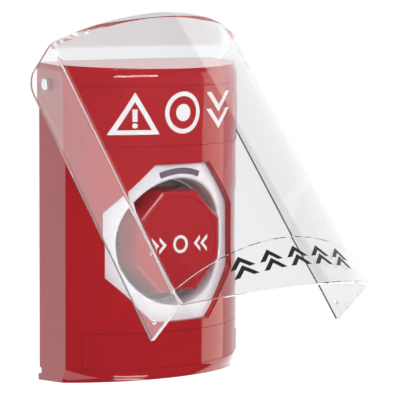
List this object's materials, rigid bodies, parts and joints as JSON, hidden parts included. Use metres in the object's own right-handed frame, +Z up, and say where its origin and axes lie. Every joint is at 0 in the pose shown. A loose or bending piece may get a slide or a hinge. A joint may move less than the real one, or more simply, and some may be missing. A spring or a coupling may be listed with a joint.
{
  "type": "emergency push button",
  "caption": "Wall station with an octagonal push button in a lit reflector well, under a hinged clear lift cover.",
  "frame": {"origin": "on the wall plane, midway between the two mounting holes, behind the middle of the housing", "axes": "the front faces -Y, +Z is up, +X is to the right seen from the front"},
  "size_m": [0.087, 0.1142, 0.1393],
  "materials": {
    "housing_red": "glossy moulded plastic",
    "label_red": "glossy moulded plastic",
    "button_red": "glossy moulded plastic",
    "cover_clear": "clear moulded polycarbonate",
    "dish_white": "white reflector, semi-gloss",
    "window_smoke": "smoked clear plastic",
    "board_green": "solder mask",
    "lamp_clear": "clear epoxy",
    "plate_steel": "zinc plated sheet steel",
    "screw_steel": "zinc plated",
    "spring_steel": "bright spring wire",
    "pin_steel": "bright steel pin",
    "acetal_white": "natural acetal",
    "switch_grey": "moulded nylon",
    "carrier_black": "moulded nylon",
    "block_green": "moulded nylon",
    "block_red": "moulded nylon",
    "clamp_brass": "plated brass"
  },
  "bodies": {
    "station": {"housing": "housing_red", "mounting_plate": "plate_steel", "plate_screws": "screw_steel", "dish": "dish_white", "indicator_window": "window_smoke", "lamp_board": "board_green", "indicator_lamps": "lamp_clear", "return_spring": "spring_steel", "guide_sleeve": "acetal_white", "switch_carrier": "carrier_black", "carrier_screws": "screw_steel", "contact_block_open": "block_green", "contact_block_closed": "block_red", "block_screws": "screw_steel", "terminal_clamps": "clamp_brass", "terminal_screws": "screw_steel", "upper_label": "label_red", "lower_label": "label_red", "hinge_pin_left": "pin_steel", "hinge_pin_right": "pin_steel"},
    "button": {"button_cap": "button_red", "button_disc": "button_red", "cap_screw": "screw_steel", "button_stem": "acetal_white", "actuator_yoke": "switch_grey", "stem_clip": "spring_steel", "plunger_open": "acetal_white", "plunger_closed": "acetal_white"},
    "cover": {"clear_cover": "cover_clear"}
  },
  "joints": [
    {"name": "button_press", "type": "slide", "parent": "station", "child": "button", "axis": [0, 1, 0], "range_m": [0, 0.004], "stiffness_N_per_m": 900, "springref_m": -0.004, "deforming": ["return_spring"]},
    {"name": "cover_hinge", "type": "hinge", "parent": "station", "child": "cover", "pos_m": [0, -0.0101, 0.0524], "axis": [-1, 0, 0], "range_deg": [-42.5, 47.5]}
  ]
}
